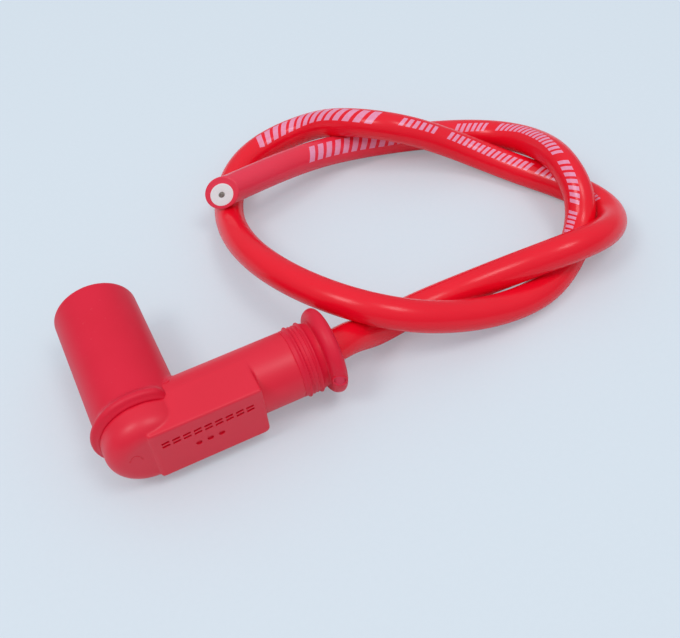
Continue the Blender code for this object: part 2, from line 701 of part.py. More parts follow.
def main():
    clear_scene()
    ground = axis_empty("ground_under_elbow", (-MIDDLE_X, -MIDDLE_Y, 0), (0, 0, 0))
    crossing = (0, 0, AXIS_HEIGHT)
    plug_axis = axis_empty("plug_axis", crossing, (-math.pi / 2, 0, 0), ground)
    lead_axis = axis_empty("lead_axis", crossing, (0, math.pi / 2, 0), ground)
    make_elbow_body(plug_axis, lead_axis)
    make_plug_boot(plug_axis, lead_axis)
    make_cable_seal(lead_axis)
    make_plug_terminal(plug_axis)
    make_terminal_clip(plug_axis)
    make_contact_spring(lead_axis)
    make_resistor(lead_axis)
    make_resistor_cap("resistor_cap_inner", NEAR_CAP_START, 1, lead_axis)
    make_resistor_cap("resistor_cap_outer", FAR_CAP_END, -1, lead_axis)
    make_cable_screw(lead_axis)
    make_ignition_lead(ground)


main()
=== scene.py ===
"""Right-angle resistor spark plug cap and its silicone ignition lead, lying on a pale surface.

Lengths are in metres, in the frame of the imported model. The plug axis runs along +Y and the
lead axis along +X, and they cross inside the elbow. Outlines are measured from that crossing.
"""

import math

import bmesh
import bpy
import numpy as np
from mathutils import Matrix, Vector


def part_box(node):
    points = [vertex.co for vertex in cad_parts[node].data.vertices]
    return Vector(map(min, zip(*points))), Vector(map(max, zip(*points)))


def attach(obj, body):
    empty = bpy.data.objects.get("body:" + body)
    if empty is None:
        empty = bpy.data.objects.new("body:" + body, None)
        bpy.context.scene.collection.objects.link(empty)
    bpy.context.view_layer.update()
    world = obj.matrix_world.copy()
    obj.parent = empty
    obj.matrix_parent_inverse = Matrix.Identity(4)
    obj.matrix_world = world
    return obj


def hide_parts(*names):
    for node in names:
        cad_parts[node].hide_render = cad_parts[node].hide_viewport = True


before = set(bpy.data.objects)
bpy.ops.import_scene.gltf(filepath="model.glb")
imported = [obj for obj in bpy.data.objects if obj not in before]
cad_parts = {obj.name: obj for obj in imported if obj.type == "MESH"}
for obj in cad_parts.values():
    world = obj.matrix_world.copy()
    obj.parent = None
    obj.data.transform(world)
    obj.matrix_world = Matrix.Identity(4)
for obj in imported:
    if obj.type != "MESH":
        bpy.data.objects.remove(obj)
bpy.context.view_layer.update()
bpy.ops.object.select_all(action="DESELECT")

# Camera
# It looks down on the cap from its front left, as the photograph does, so that the closed end
# and the block face the viewer and the boot points away.
seal_low, seal_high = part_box("cable_seal")
terminal_low, terminal_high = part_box("plug_terminal")
crossing = Vector(
    (
        (terminal_low[0] + terminal_high[0]) / 2,
        (seal_low[1] + seal_high[1]) / 2,
        (seal_low[2] + seal_high[2]) / 2,
    )
)
CAMERA_FROM_CROSSING = Vector((-0.00110, -0.11860, 0.16455))
camera_right = Vector((0.89933, -0.43181, -0.06888))
camera_up = Vector((0.37617, 0.68368, 0.62536))
camera_back = Vector((-0.22295, -0.58832, 0.77729))
bpy.ops.object.camera_add(location=crossing + CAMERA_FROM_CROSSING)
camera = bpy.context.object
camera.rotation_euler = Matrix((camera_right, camera_up, camera_back)).transposed().to_euler()
camera.data.sensor_fit = "HORIZONTAL"
camera.data.sensor_width = 36.0
camera.data.lens = 52.94
camera.data.clip_start = 0.01
camera.data.clip_end = 20.0
bpy.context.scene.camera = camera

# Ignition lead
# A 7 mm high-tension lead: a thin tinned core in white insulation under a red silicone jacket,
# extruded smooth and glossy. It is turned onto the screw in the cap, leaves through the seal,
# winds twice round a loose loop and ends in a slanted cut. A pale print runs along one side.
MM = 0.001
LEAD_RADIUS = 3.5 * MM
LEAD_START = 28.44 * MM
LEAD_SIDES = 40
LEAD_STEP = 0.9 * MM
ROUTE_MM = (
    (41.7, 0.0, 10.6),
    (46.0, 1.2, 9.5),
    (52.4, 3.4, 5.7),
    (59.8, 5.2, 4.0),
    (73.6, 5.2, 4.4),
    (87.6, 1.2, 9.2),
    (101.2, -1.2, 11.6),
    (109.2, 0.8, 9.4),
    (114.8, 5.2, 6.4),
    (117.2, 11.4, 4.2),
    (115.4, 19.2, 3.6),
    (108.2, 31.2, 3.6),
    (100.2, 41.6, 5.2),
    (91.4, 47.6, 9.6),
    (83.4, 51.8, 13.0),
    (75.2, 59.4, 12.6),
    (67.4, 69.8, 6.8),
    (56.8, 72.2, 3.9),
    (46.2, 66.6, 3.7),
    (39.8, 56.8, 4.2),
    (36.6, 42.8, 7.8),
    (37.6, 28.2, 11.8),
    (42.8, 14.0, 14.4),
    (49.4, 4.6, 14.9),
    (57.2, -1.2, 13.3),
    (67.2, -3.8, 9.4),
    (79.4, -4.4, 5.4),
    (91.4, -3.0, 3.7),
    (101.6, 2.2, 3.8),
    (109.0, 9.2, 6.2),
    (111.0, 13.4, 9.3),
    (112.0, 20.4, 11.6),
    (112.8, 32.4, 9.0),
    (108.8, 45.2, 4.6),
    (96.8, 53.4, 3.8),
    (82.2, 58.6, 4.0),
    (68.2, 59.6, 6.1),
    (52.6, 56.2, 9.9),
    (37.8, 52.2, 12.7),
)


def even_points(knots, spacing):
    """Evenly spaced points on the natural cubic curve through the knots, and their distances."""
    knots = np.array(knots)
    steps = np.linalg.norm(np.diff(knots, axis=0), axis=1)
    count = len(knots)
    system = np.eye(count)
    target = np.zeros_like(knots)
    for i in range(1, count - 1):
        before, after = steps[i - 1], steps[i]
        system[i, i - 1 : i + 2] = (before, 2 * (before + after), after)
        slope_after = (knots[i + 1] - knots[i]) / after
        slope_before = (knots[i] - knots[i - 1]) / before
        target[i] = 6 * (slope_after - slope_before)
    bends = np.linalg.solve(system, target)
    fine = []
    for i, step in enumerate(steps):
        for share in np.arange(0.0, 1.0, 0.02):
            rest = 1.0 - share
            bow = (rest**3 - rest) * bends[i] + (share**3 - share) * bends[i + 1]
            fine.append(rest * knots[i] + share * knots[i + 1] + bow * step**2 / 6)
    fine.append(knots[-1])
    fine = np.array(fine)
    run = np.concatenate([[0.0], np.cumsum(np.linalg.norm(np.diff(fine, axis=0), axis=1))])
    wanted = np.linspace(0.0, run[-1], round(run[-1] / spacing) + 1)
    return np.stack([np.interp(wanted, run, fine[:, k]) for k in range(3)], axis=1), wanted


def srgb(text):
    """The linear colour of a hex code such as D22B3C."""
    parts = [int(text[i : i + 2], 16) / 255 for i in (0, 2, 4)]
    return tuple(v / 12.92 if v <= 0.04045 else ((v + 0.055) / 1.055) ** 2.4 for v in parts) + (1.0,)


def add_node(tree, kind, inputs=None, **settings):
    """Adds a node. inputs gives each input, by name or number, a value or another node's output."""
    made = tree.nodes.new(kind)
    for setting, value in settings.items():
        setattr(made, setting, value)
    for socket, value in (inputs or {}).items():
        if isinstance(value, bpy.types.NodeSocket):
            tree.links.new(value, made.inputs[socket])
        else:
            made.inputs[socket].default_value = value
    return made


def new_material(name):
    made = bpy.data.materials.new(name)
    made.use_nodes = True
    return made, made.node_tree, made.node_tree.nodes["Principled BSDF"]


# Angle of the printed side, in degrees from straight up, clockwise seen along the lead, at
# distances along it in millimetres.
PRINT_TURN = (
    (0, -180),
    (77, -180),
    (92, -70),
    (100, -40),
    (112, -25),
    (118, -20),
    (150, -18),
    (197, -12),
    (212, 80),
    (225, 170),
    (318, 180),
    (335, 320),
    (345, 325),
    (356, 335),
    (375, 352),
    (395, 335),
    (411, 320),
    (437, 320),
    (450, 200),
    (461, 180),
)
# The cut lies a little past the route's last point. It runs back by this share of the way across
# towards its short side, which is up and towards the viewer, so that its face can be seen. The
# cutters spread the jacket a little, and the insulation sits low in it.
CUT_SLOPE = 0.72
CUT_SIDE = Vector((0.16, -0.64, 0.75))
CUT_BEYOND = 0.45 * MM
LOW_SIDE = Vector((-0.38, -0.68, -0.63))
INSULATION_DROP = 0.4 * MM
SHEAR_RINGS = 10
# Rings of the cut end, each by how far out it lies and its radius, in millimetres.
JACKET_END_MM = ((-0.9, 3.58), (-0.3, 3.68), (-0.08, 3.68), (0.0, 3.6), (0.0, 3.2))
INSULATION_END_MM = ((0.03, 2.5), (0.06, 2.4), (0.07, 2.1), (0.07, 1.3), (0.05, 0.75), (0.0, 0.66))
CORE_END_MM = ((0.10, 0.62), (0.16, 0.5), (0.18, 0.25))
INSULATION_RADIUS = 2.54 * MM

route = [crossing + Vector((LEAD_START, 0, 0))]
route += [Vector((crossing.x + x * MM, crossing.y + y * MM, z * MM)) for x, y, z in ROUTE_MM]
centres, distances = even_points([tuple(p) for p in route], LEAD_STEP)
turns = np.radians(np.interp(distances / MM, *np.array(PRINT_TURN, float).T))
aheads = np.gradient(centres, axis=0)

shape = bmesh.new()
place = shape.verts.layers.float_vector.new("lead_place")


def add_ring(centre, ahead, turn, radius, distance, slope=0.0):
    """A ring of the lead square to ahead, begun at its printed side. slope shears it to the cut."""
    ahead = Vector(ahead).normalized()
    up = (Vector((0, 0, 1)) - ahead * ahead.z).normalized()
    side = ahead.cross(up)
    tilt = (CUT_SIDE - ahead * CUT_SIDE.dot(ahead)).normalized()
    ring = []
    for index in range(LEAD_SIDES):
        angle = math.tau * index / LEAD_SIDES
        offset = (up * math.cos(angle + turn) + side * math.sin(angle + turn)) * radius
        shear = -slope * offset.dot(tilt)
        vert = shape.verts.new(Vector(centre) + offset + ahead * shear)
        vert[place] = (
            (distance + shear) / MM,
            math.sin(angle) * radius / MM,
            math.cos(angle) * radius / MM,
        )
        ring.append(vert)
    return ring


def join_rings(near, far, material_index=0):
    for index in range(LEAD_SIDES):
        after = (index + 1) % LEAD_SIDES
        face = shape.faces.new((near[index], near[after], far[after], far[index]))
        face.smooth = True
        face.material_index = material_index


def add_cut_rings(centre, places):
    """Rings of the cut end about this centre."""
    return [
        add_ring(
            centre + end_unit * out * MM,
            aheads[-1],
            turns[-1],
            radius * MM,
            distances[-1],
            CUT_SLOPE,
        )
        for out, radius in places
    ]


rings = []
last_ring = len(centres) - 3
for index in range(last_ring):
    share = max(0.0, 1.0 - (last_ring - index) / SHEAR_RINGS)
    slope = CUT_SLOPE * share
    rings.append(
        add_ring(centres[index], aheads[index], turns[index], LEAD_RADIUS, distances[index], slope)
    )
end_unit = Vector(aheads[-1]).normalized()
end = Vector(centres[-1]) + end_unit * CUT_BEYOND
tilt = (CUT_SIDE - end_unit * CUT_SIDE.dot(end_unit)).normalized()
low = (LOW_SIDE - end_unit * LOW_SIDE.dot(end_unit)).normalized()
drop = (low - end_unit * CUT_SLOPE * low.dot(tilt)) * INSULATION_DROP
rings += add_cut_rings(end, JACKET_END_MM)
rings += add_cut_rings(end + drop, ((0.0, INSULATION_RADIUS / MM),))
for near, far in zip(rings, rings[1:]):
    join_rings(near, far)
shape.faces.new(reversed(rings[0]))
# The white insulation stands a hair proud of the jacket, and the core a hair proud of that.
face_rings = [rings[-1]] + add_cut_rings(end + drop, INSULATION_END_MM)
for near, far in zip(face_rings, face_rings[1:]):
    join_rings(near, far, 1)
core_rings = [face_rings[-1]] + add_cut_rings(end + drop, CORE_END_MM)
for near, far in zip(core_rings, core_rings[1:]):
    join_rings(near, far, 2)
last = shape.faces.new(core_rings[-1])
last.material_index = 2
bmesh.ops.recalc_face_normals(shape, faces=shape.faces)
lead_mesh = bpy.data.meshes.new("silicone_lead")
shape.to_mesh(lead_mesh)
shape.free()
silicone_lead = bpy.data.objects.new("silicone_lead", lead_mesh)
bpy.context.scene.collection.objects.link(silicone_lead)

# Extruded silicone rubber: an even red with a soft gloss, faint drawing lines along it
# and a pale ink print, which is rows of plain slanted strokes.
jacket, tree, shader = new_material("extruded silicone rubber jacket")
shader.inputs["IOR"].default_value = 1.48
shader.inputs["Specular IOR Level"].default_value = 0.38
read_place = add_node(tree, "ShaderNodeAttribute", attribute_name="lead_place")
split = add_node(tree, "ShaderNodeSeparateXYZ", {0: read_place.outputs["Vector"]})
angle = add_node(
    tree, "ShaderNodeMath", {0: split.outputs["Y"], 1: split.outputs["Z"]}, operation="ARCTAN2"
)
arc_mm = add_node(
    tree, "ShaderNodeMath", {0: angle.outputs[0], 1: LEAD_RADIUS / MM}, operation="MULTIPLY"
)
arc_size = add_node(tree, "ShaderNodeMath", {0: arc_mm.outputs[0]}, operation="ABSOLUTE")

# One length of print is 119 mm: four rows of small strokes, then a row of large ones. Rows are
# given by where they start and stop, and strokes by their pitch, width and half height, all in
# millimetres. The strokes lean along the lead by a share of their height.
PRINT_REPEAT = 119.0
PRINT_OFFSET = 37.0
PRINT_END = 440.0
PRINT_LEAN = 0.45
LARGE_ROWS = ((79.4, 116.0),)
LARGE_STROKE = (2.65, 1.65, 1.95)
SMALL_ROWS = ((17.9, 25.3), (26.9, 37.3), (38.9, 62.8), (65.9, 74.8))
SMALL_STROKE = (1.5, 0.9, 1.2)
slant = add_node(
    tree,
    "ShaderNodeMath",
    {0: arc_mm.outputs[0], 1: PRINT_LEAN, 2: split.outputs["X"]},
    operation="MULTIPLY_ADD",
)
shifted = add_node(
    tree, "ShaderNodeMath", {0: slant.outputs[0], 1: PRINT_OFFSET}, operation="ADD"
)
share = add_node(
    tree, "ShaderNodeMath", {0: shifted.outputs[0], 1: PRINT_REPEAT}, operation="DIVIDE"
)
share = add_node(tree, "ShaderNodeMath", {0: share.outputs[0]}, operation="FRACT")
local = add_node(
    tree, "ShaderNodeMath", {0: share.outputs[0], 1: PRINT_REPEAT}, operation="MULTIPLY"
)


def print_rows(stops):
    """One in each row of one length of print, and nought between the rows."""
    rows = None
    for start, stop in stops:
        row = add_node(
            tree,
            "ShaderNodeMath",
            {0: local.outputs[0], 1: (start + stop) / 2, 2: (stop - start) / 2},
            operation="COMPARE",
        )
        if rows is None:
            rows = row
        else:
            rows = add_node(
                tree, "ShaderNodeMath", {0: rows.outputs[0], 1: row.outputs[0]}, operation="MAXIMUM"
            )
    return rows.outputs[0]


def strokes(pitch, width, half_height):
    """Slanted strokes at this pitch and width along the lead, in a band of this half height."""
    cell = add_node(tree, "ShaderNodeMath", {0: local.outputs[0], 1: pitch}, operation="DIVIDE")
    cell = add_node(tree, "ShaderNodeMath", {0: cell.outputs[0]}, operation="FRACT")
    wide = add_node(
        tree, "ShaderNodeMath", {0: cell.outputs[0], 1: width / pitch}, operation="LESS_THAN"
    )
    high = add_node(
        tree, "ShaderNodeMath", {0: arc_size.outputs[0], 1: half_height}, operation="LESS_THAN"
    )
    return add_node(
        tree, "ShaderNodeMath", {0: wide.outputs[0], 1: high.outputs[0]}, operation="MULTIPLY"
    ).outputs[0]


large = add_node(
    tree,
    "ShaderNodeMath",
    {0: print_rows(LARGE_ROWS), 1: strokes(*LARGE_STROKE)},
    operation="MULTIPLY",
)
small = add_node(
    tree,
    "ShaderNodeMath",
    {0: print_rows(SMALL_ROWS), 1: strokes(*SMALL_STROKE)},
    operation="MULTIPLY",
)
ink = add_node(tree, "ShaderNodeMath", {0: large.outputs[0], 1: small.outputs[0]}, operation="ADD")
before_end = add_node(
    tree, "ShaderNodeMath", {0: split.outputs["X"], 1: PRINT_END}, operation="LESS_THAN"
)
ink = add_node(
    tree, "ShaderNodeMath", {0: ink.outputs[0], 1: before_end.outputs[0]}, operation="MULTIPLY"
)
# The ink has gone on unevenly, in patches half a millimetre across.
patchy = add_node(
    tree,
    "ShaderNodeTexNoise",
    {"Vector": read_place.outputs["Vector"], "Scale": 2.2, "Detail": 3.0},
)
patchy = add_node(
    tree,
    "ShaderNodeMapRange",
    {
        "Value": patchy.outputs["Fac"],
        "From Min": 0.25,
        "From Max": 0.6,
        "To Min": 0.70,
        "To Max": 0.95,
    },
)
ink = add_node(
    tree, "ShaderNodeMath", {0: ink.outputs[0], 1: patchy.outputs[0]}, operation="MULTIPLY"
)
tone = add_node(
    tree,
    "ShaderNodeTexNoise",
    {"Vector": read_place.outputs["Vector"], "Scale": 0.12, "Detail": 2.0},
)
red = add_node(
    tree,
    "ShaderNodeMix",
    {0: tone.outputs["Fac"], 6: srgb("EE0622"), 7: srgb("F40C28")},
    data_type="RGBA",
)
printed = add_node(
    tree,
    "ShaderNodeMix",
    {0: ink.outputs[0], 6: red.outputs[2], 7: srgb("F0A0BE")},
    data_type="RGBA",
)
# A painted sheen: the last 75 mm are painted a little towards pale mauve, standing in for a soft
# reflection there.
PAINTED_SHEEN_START = 385.0
PAINTED_SHEEN_FULL = 450.0
PAINTED_SHEEN_SHARE = 0.12
painted_sheen = add_node(
    tree,
    "ShaderNodeMapRange",
    {
        "Value": split.outputs["X"],
        "From Min": PAINTED_SHEEN_START,
        "From Max": PAINTED_SHEEN_FULL,
        "To Max": PAINTED_SHEEN_SHARE,
    },
)
printed = add_node(
    tree,
    "ShaderNodeMix",
    {0: painted_sheen.outputs[0], 6: printed.outputs[2], 7: srgb("BC8EB6")},
    data_type="RGBA",
)
tree.links.new(printed.outputs[2], shader.inputs["Base Color"])
gloss = add_node(
    tree,
    "ShaderNodeMapRange",
    {"Value": tone.outputs["Fac"], "To Min": 0.21, "To Max": 0.28},
)
tree.links.new(gloss.outputs[0], shader.inputs["Roughness"])
# The lines that the die leaves are drawn 0.5 mm apart round the jacket, which is coarser than
# they are, and long along it.
drawn = add_node(
    tree,
    "ShaderNodeMapping",
    {"Vector": read_place.outputs["Vector"], "Scale": (0.015, 2.0, 2.0)},
)
drawn = add_node(
    tree, "ShaderNodeTexNoise", {"Vector": drawn.outputs[0], "Scale": 1.0, "Detail": 2.0}
)
bump = add_node(
    tree, "ShaderNodeBump", {"Height": drawn.outputs["Fac"], "Strength": 0.04, "Distance": 0.0001}
)
tree.links.new(bump.outputs[0], shader.inputs["Normal"])

# Cut silicone insulation: chalky white and matt, with the saw marks of a blade across it.
insulation, tree, shader = new_material("cut white silicone insulation")
shader.inputs["Roughness"].default_value = 0.62
place_on = add_node(tree, "ShaderNodeTexCoord")
cut_marks = add_node(
    tree,
    "ShaderNodeMapping",
    {"Vector": place_on.outputs["Object"], "Scale": (900.0, 2600.0, 900.0)},
)
cut_marks = add_node(tree, "ShaderNodeTexNoise", {"Vector": cut_marks.outputs[0], "Detail": 4.0})
white = add_node(
    tree,
    "ShaderNodeMix",
    {0: cut_marks.outputs["Fac"], 6: srgb("DCD9D6"), 7: srgb("F8F7F4")},
    data_type="RGBA",
)
tree.links.new(white.outputs[2], shader.inputs["Base Color"])
bump = add_node(
    tree,
    "ShaderNodeBump",
    {"Height": cut_marks.outputs["Fac"], "Strength": 0.35, "Distance": 0.0001},
)
tree.links.new(bump.outputs[0], shader.inputs["Normal"])

# Stranded core: tinned copper gone dull, its strands 0.2 mm thick.
core, tree, shader = new_material("dull tinned copper strands")
shader.inputs["Metallic"].default_value = 0.6
place_on = add_node(tree, "ShaderNodeTexCoord")
strands = add_node(
    tree, "ShaderNodeTexVoronoi", {"Vector": place_on.outputs["Object"], "Scale": 4500.0}
)
# Each strand's colour darkens towards the edge of its cell: painted shade in the gaps between the
# strands.
grey = add_node(
    tree,
    "ShaderNodeMix",
    {0: strands.outputs["Distance"], 6: srgb("A39A90"), 7: srgb("5E554D")},
    data_type="RGBA",
)
tree.links.new(grey.outputs[2], shader.inputs["Base Color"])
shader.inputs["Roughness"].default_value = 0.45
bump = add_node(
    tree,
    "ShaderNodeBump",
    {"Height": strands.outputs["Distance"], "Strength": 0.8, "Distance": 0.0001},
)
bump.invert = True
tree.links.new(bump.outputs[0], shader.inputs["Normal"])
for finish in (jacket, insulation, core):
    silicone_lead.data.materials.append(finish)

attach(silicone_lead, "root")
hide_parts("ignition_lead")

# Elbow moulding
# The hard body of the cap in glass-filled nylon, injection moulded in one shot: a closed end, a
# tower inside the boot, the barrel towards the lead and a flat-faced block for the resistor.
# Its face carries rows of plain sunk dashes and dots, and the closed end a faint gate arc.
VOXEL = 0.25 * MM
SEAT_GAP = 0.3 * MM
BODY_RADIUS = 9.15 * MM
BODY_SHOULDER = -1.0 * MM
CLOSED_END = 7.6 * MM
CLOSED_END_ROUND = 3.8 * MM
BARREL_RADIUS = 7.2 * MM
BARREL_LENGTH = 32.3 * MM
BARREL_EDGE = 0.1 * MM
SPIGOT_RADIUS = 5.7 * MM
SPIGOT_END = 36.5 * MM
TOWER_RADIUS = 6.9 * MM
TOWER_LENGTH = 20.0 * MM
TOWER_EDGE = 0.4 * MM
TOWER_BARB = 15.5 * MM
SPIGOT_BARB = 1.6 * MM
BARB_HEIGHT = 0.35 * MM
BARB_WIDTH = 0.9 * MM
BLOCK_BACK = 0.2 * MM
BLOCK_FRONT = 23.2 * MM
BLOCK_FACE = 8.1 * MM
BLOCK_TUCK = 0.7 * MM
BLOCK_HALF_HEIGHT = 7.26 * MM
BLOCK_CORNER = 0.45 * MM
BLOCK_LOW_CORNER = 1.2 * MM
BLOCK_EDGE = 0.3 * MM


def arc(radius, along, size, start, end, steps):
    """Points of an arc in a turned outline: its centre, its radius and its angles in degrees."""
    angles = np.radians(np.linspace(start, end, steps + 1))
    return [(radius + size * math.cos(a), along + size * math.sin(a)) for a in angles]


def barb(radius, along):
    """A low ramp on a turned outline that keeps a rubber piece from sliding off."""
    top = radius + BARB_HEIGHT
    return [(radius, along), (top, along + 0.2 * BARB_WIDTH), (radius, along + BARB_WIDTH)]


def pick(piece):
    """Makes the piece the active one and the only one selected."""
    bpy.ops.object.select_all(action="DESELECT")
    bpy.context.view_layer.objects.active = piece
    piece.select_set(True)


def spin_outline(name, outline, axis, steps=96):
    """Spins an outline of (radius, distance along the axis) about the plug or the lead axis."""
    bpy.ops.object.select_all(action="DESELECT")
    bpy.ops.mesh.primitive_circle_add(vertices=len(outline), radius=BODY_RADIUS)
    piece = bpy.context.object
    piece.name = name
    outward = Vector((0, 0, 1))
    for vertex, (radius, along) in zip(piece.data.vertices, outline):
        vertex.co = crossing + outward * radius + Vector(axis) * along
    bpy.ops.object.mode_set(mode="EDIT")
    bpy.ops.mesh.select_all(action="SELECT")
    bpy.ops.mesh.spin(steps=steps, angle=math.tau, center=crossing, axis=axis)
    bpy.ops.mesh.select_all(action="SELECT")
    bpy.ops.mesh.remove_doubles(threshold=0.002 * MM)
    bpy.ops.mesh.delete_loose(use_verts=True, use_edges=True, use_faces=False)
    bpy.ops.mesh.select_all(action="SELECT")
    bpy.ops.mesh.normals_make_consistent(inside=False)
    bpy.ops.object.mode_set(mode="OBJECT")
    return piece


def combine(target, operation, tools):
    """Joins the tools to the target or cuts them from it, and removes them."""
    for tool in tools:
        pick(target)
        step = target.modifiers.new(operation, "BOOLEAN")
        step.operation = operation
        step.object = tool
        step.solver = "EXACT"
        bpy.ops.object.modifier_apply(modifier=step.name)
        bpy.data.objects.remove(tool, do_unlink=True)


def mould(piece, rounds):
    """One even skin over the joined forms, its edges and inner corners softened as moulded."""
    pick(piece)
    step = piece.modifiers.new("skin", "REMESH")
    step.mode = "VOXEL"
    step.voxel_size = VOXEL
    bpy.ops.object.modifier_apply(modifier=step.name)
    step = piece.modifiers.new("soft edges", "SMOOTH")
    step.factor = 0.5
    step.iterations = rounds
    bpy.ops.object.modifier_apply(modifier=step.name)
    bpy.ops.object.shade_smooth()


def bent_bar(name, points, radius):
    """A closed round bar along the points."""
    curve = bpy.data.curves.new(name, "CURVE")
    curve.dimensions = "3D"
    curve.bevel_depth = radius
    curve.bevel_resolution = 6
    curve.use_fill_caps = True
    run = curve.splines.new("POLY")
    run.points.add(len(points) - 1)
    for knot, point in zip(run.points, points):
        knot.co = (*point, 1.0)
    bar = bpy.data.objects.new(name, curve)
    bpy.context.scene.collection.objects.link(bar)
    pick(bar)
    bpy.ops.object.convert(target="MESH")
    bar = bpy.context.object
    bpy.ops.object.mode_set(mode="EDIT")
    bpy.ops.mesh.select_all(action="SELECT")
    bpy.ops.mesh.remove_doubles(threshold=0.002 * MM)
    bpy.ops.mesh.normals_make_consistent(inside=False)
    bpy.ops.object.mode_set(mode="OBJECT")
    return bar


PLUG_AXIS = (0, 1, 0)
LEAD_AXIS = (1, 0, 0)
outline = [(0, -CLOSED_END)]
outline += arc(
    BODY_RADIUS - CLOSED_END_ROUND, CLOSED_END_ROUND - CLOSED_END, CLOSED_END_ROUND, -90, 0, 16
)
outline += [(BODY_RADIUS, BODY_SHOULDER), (TOWER_RADIUS, BODY_SHOULDER)]
outline += barb(TOWER_RADIUS, TOWER_BARB)
outline += [(TOWER_RADIUS, TOWER_LENGTH - TOWER_EDGE), (TOWER_RADIUS - TOWER_EDGE, TOWER_LENGTH)]
outline += [(0, TOWER_LENGTH)]
elbow = spin_outline("elbow_moulding", outline, PLUG_AXIS)
outline = [(0, 0), (BARREL_RADIUS, 0), (BARREL_RADIUS, BARREL_LENGTH - BARREL_EDGE)]
outline += [(BARREL_RADIUS - BARREL_EDGE, BARREL_LENGTH), (SPIGOT_RADIUS, BARREL_LENGTH)]
outline += barb(SPIGOT_RADIUS, BARREL_LENGTH + SPIGOT_BARB)
outline += [(SPIGOT_RADIUS, SPIGOT_END), (0, SPIGOT_END)]
barrel = spin_outline("barrel", outline, LEAD_AXIS)

bpy.ops.object.select_all(action="DESELECT")
bpy.ops.mesh.primitive_cube_add(
    size=1.0,
    location=(
        crossing.x + (BLOCK_FRONT - BLOCK_BACK) / 2,
        crossing.y - (BLOCK_FACE - BLOCK_TUCK) / 2,
        crossing.z,
    ),
    scale=(BLOCK_FRONT + BLOCK_BACK, BLOCK_FACE + BLOCK_TUCK, 2 * BLOCK_HALF_HEIGHT),
)
block = bpy.context.object
bpy.ops.object.transform_apply(location=True, rotation=True, scale=True)
bpy.ops.object.mode_set(mode="EDIT")


def bevel_edges(piece, chosen, width, segments):
    """Bevels the edges of the piece whose two ends both pass the test."""
    bpy.ops.mesh.select_all(action="DESELECT")
    bpy.ops.mesh.select_mode(type="EDGE")
    cage = bmesh.from_edit_mesh(piece.data)
    for edge in cage.edges:
        edge.select = all(chosen(vert.co) for vert in edge.verts)
    bmesh.update_edit_mesh(piece.data)
    bpy.ops.mesh.bevel(offset=width, segments=segments, affect="EDGES")


# Corners and edges are picked out by planes a hair inside the block's ends and face.
hair = 0.01 * MM
right_end = crossing.x + BLOCK_FRONT - hair
left_end = crossing.x - BLOCK_BACK + hair
face_y = crossing.y - BLOCK_FACE + hair
bevel_edges(block, lambda co: co.x > right_end and co.z < crossing.z, BLOCK_LOW_CORNER, 6)
bevel_edges(block, lambda co: co.x > right_end and co.z > crossing.z, BLOCK_CORNER, 3)
bevel_edges(block, lambda co: co.x < left_end and co.z > crossing.z, BLOCK_CORNER, 3)
bevel_edges(block, lambda co: co.x < left_end and co.z < crossing.z, BLOCK_CORNER, 3)
bevel_edges(block, lambda co: co.y < face_y, BLOCK_EDGE, 3)
bpy.ops.object.mode_set(mode="OBJECT")
combine(elbow, "UNION", [barrel, block])

# The bores, as a reamer would leave them: the terminal's shank and head and the plug's nose
# along one axis, the resistor and the lead along the other.
SHANK_BORE_RADIUS = 2.85 * MM
SHANK_BORE_FLOOR = -3.7 * MM
HEAD_BORE_RADIUS = 4.5 * MM
HEAD_BORE_FLOOR = 2.3 * MM
HEAD_BORE_END = 13.2 * MM
NOSE_BORE_RADIUS = 5.4 * MM
NOSE_BORE_FLOOR = 14.1 * MM
RESISTOR_BORE_RADIUS = 2.97 * MM
RESISTOR_BORE_END = 20.14 * MM
LEAD_BORE_RADIUS = 3.8 * MM
tower_top = TOWER_LENGTH + SEAT_GAP
outline = [(0, SHANK_BORE_FLOOR), (SHANK_BORE_RADIUS, SHANK_BORE_FLOOR)]
outline += [(SHANK_BORE_RADIUS, HEAD_BORE_FLOOR), (HEAD_BORE_RADIUS, HEAD_BORE_FLOOR)]
outline += [(HEAD_BORE_RADIUS, HEAD_BORE_END), (NOSE_BORE_RADIUS, NOSE_BORE_FLOOR)]
outline += [(NOSE_BORE_RADIUS, tower_top), (0, tower_top)]
plug_bore = spin_outline("plug_bore", outline, PLUG_AXIS, 64)
spigot_top = SPIGOT_END + SEAT_GAP
outline = [(0, 0), (RESISTOR_BORE_RADIUS, 0), (RESISTOR_BORE_RADIUS, RESISTOR_BORE_END)]
outline += [(LEAD_BORE_RADIUS, RESISTOR_BORE_END), (LEAD_BORE_RADIUS, spigot_top), (0, spigot_top)]
lead_bore = spin_outline("lead_bore", outline, LEAD_AXIS, 64)
combine(elbow, "DIFFERENCE", [plug_bore, lead_bore])
mould(elbow, 5)

# The marks are 0.4 mm deep, each a rounded stroke: two rows of nine dashes, and three dots.
MARK_DEPTH = 0.4 * MM
DASH_ROWS = (3.55 * MM, 2.55 * MM)
DASH_START = 2.55 * MM
DASH_PITCH = 2.2 * MM
DASH_SIZE = (1.65 * MM, 0.62 * MM)
DASH_TURN = -0.12
DASH_CORNER = 0.2 * MM
DOT_ROW = -0.8 * MM
DOT_START = 8.7 * MM
DOT_PITCH = 2.4 * MM
DOT_SIZE = (1.3 * MM, 1.3 * MM)
DOT_CORNER = 0.6 * MM
marks = []


